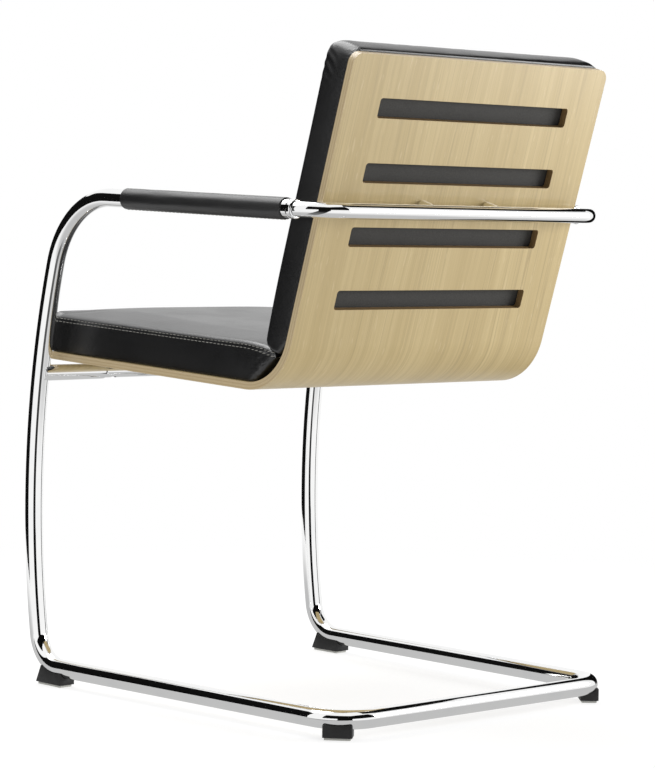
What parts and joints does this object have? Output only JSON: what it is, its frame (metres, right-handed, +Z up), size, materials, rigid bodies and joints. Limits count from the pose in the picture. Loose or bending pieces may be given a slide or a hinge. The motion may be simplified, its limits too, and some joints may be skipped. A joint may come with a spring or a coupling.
{
  "type": "cantilever chair",
  "caption": "Cantilever armchair: bent chromed tube frame, slotted bent plywood shell, black leather seat and back pads, leather arm sleeves.",
  "frame": {"origin": "floor level, under the middle of the chair's outline", "axes": "+Z up; the sitter faces -Y; the sitter's left is +X"},
  "size_m": [0.5502, 0.6369, 0.8705],
  "materials": {
    "chrome": "polished",
    "oak_plywood": "clear satin lacquer over oak veneer",
    "black_leather": "smooth, soft sheen",
    "sleeve_leather": "matt",
    "dark_board": "dark felted face",
    "black_strip": "hook and loop",
    "black_plastic": "moulded",
    "grey_sole": "plain",
    "zinced_steel": "zinc plated"
  },
  "bodies": {
    "root": {"frame_tube": "chrome", "rear_bow": "chrome", "ferrule_left": "chrome", "ferrule_right": "chrome", "crossbar_socket_left": "chrome", "crossbar_socket_right": "chrome", "seat_crossbar": "chrome", "back_spacer_left": "chrome", "back_spacer_right": "chrome", "arm_sleeve_left": "sleeve_leather", "arm_sleeve_right": "sleeve_leather", "plywood_shell": "oak_plywood", "seat_pad": "black_leather", "back_pad": "black_leather", "seat_pad_board": "dark_board", "back_pad_board": "dark_board", "seat_mount_pad_left": "black_plastic", "seat_mount_pad_right": "black_plastic", "front_glide_left": "black_plastic", "front_glide_right": "black_plastic", "rear_glide_left": "black_plastic", "rear_glide_right": "black_plastic", "front_sole_left": "grey_sole", "front_sole_right": "grey_sole", "rear_sole_left": "grey_sole", "rear_sole_right": "grey_sole", "back_screw_left": "zinced_steel", "back_screw_right": "zinced_steel", "seat_screw_left": "zinced_steel", "seat_screw_right": "zinced_steel", "seat_insert_left": "zinced_steel", "seat_insert_right": "zinced_steel", "seat_strip_front_left": "black_strip", "seat_strip_front_right": "black_strip", "seat_strip_rear_left": "black_strip", "seat_strip_rear_right": "black_strip", "back_strip_upper_left": "black_strip", "back_strip_upper_right": "black_strip", "back_strip_lower_left": "black_strip", "back_strip_lower_right": "black_strip"}
  },
  "joints": []
}
